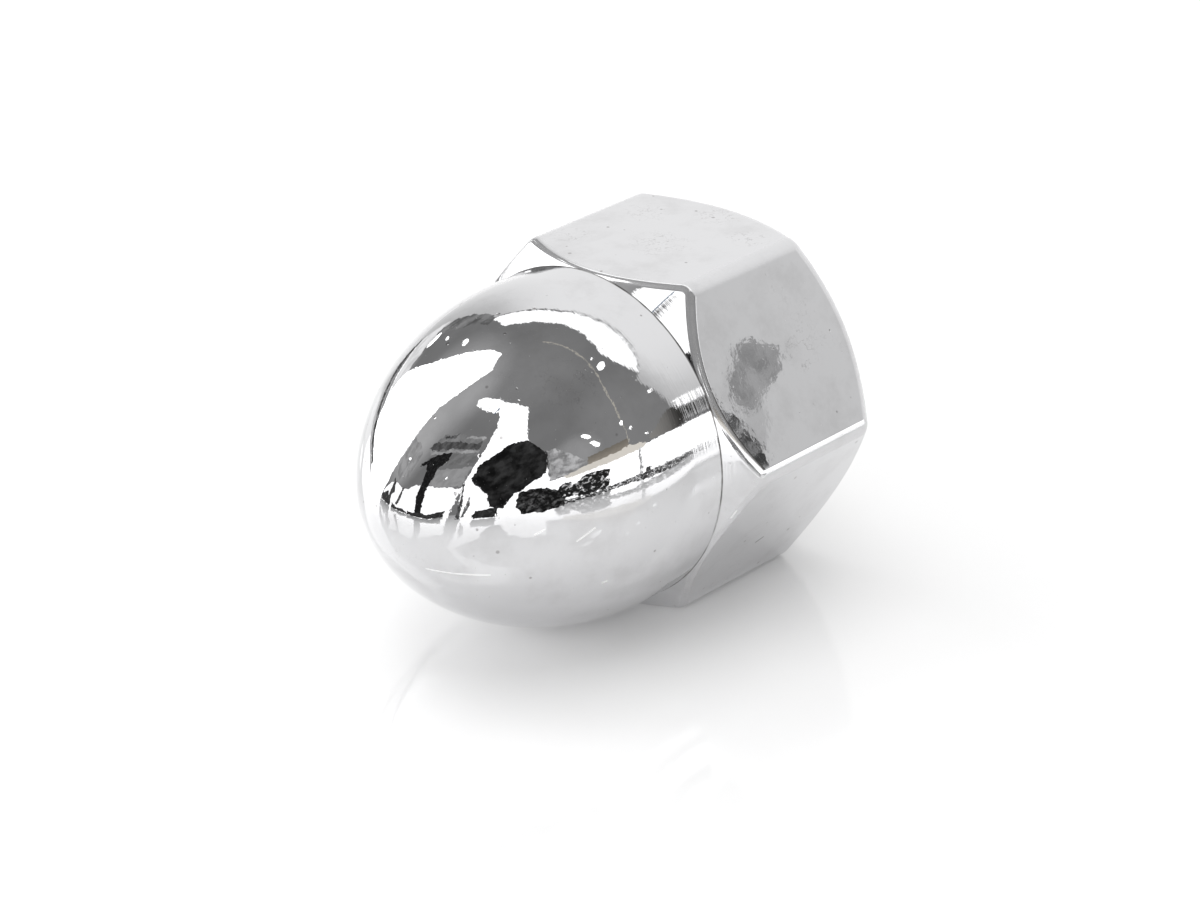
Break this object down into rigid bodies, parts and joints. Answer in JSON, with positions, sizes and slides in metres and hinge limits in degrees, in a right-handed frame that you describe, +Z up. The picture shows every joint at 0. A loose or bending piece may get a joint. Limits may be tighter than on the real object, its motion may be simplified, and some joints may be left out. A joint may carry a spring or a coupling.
{
  "type": "acorn nut",
  "caption": "Polished hexagon nut closed by a full-width dome, with a blind tapped hole in its flat bearing face.",
  "frame": {"origin": "on the thread axis at the bearing face, where the threaded wall begins", "axes": "+X along the thread axis from the bearing face to the tip of the dome, +Z up and square to the wrench flat that the nut lies on, +Y across the corners"},
  "size_m": [0.0192, 0.0148, 0.013],
  "materials": {
    "chrome": "bright chrome plating on a polished nut, with a light orange peel and a few handling marks"
  },
  "bodies": {
    "root": {"acorn_nut": "chrome"}
  },
  "joints": []
}
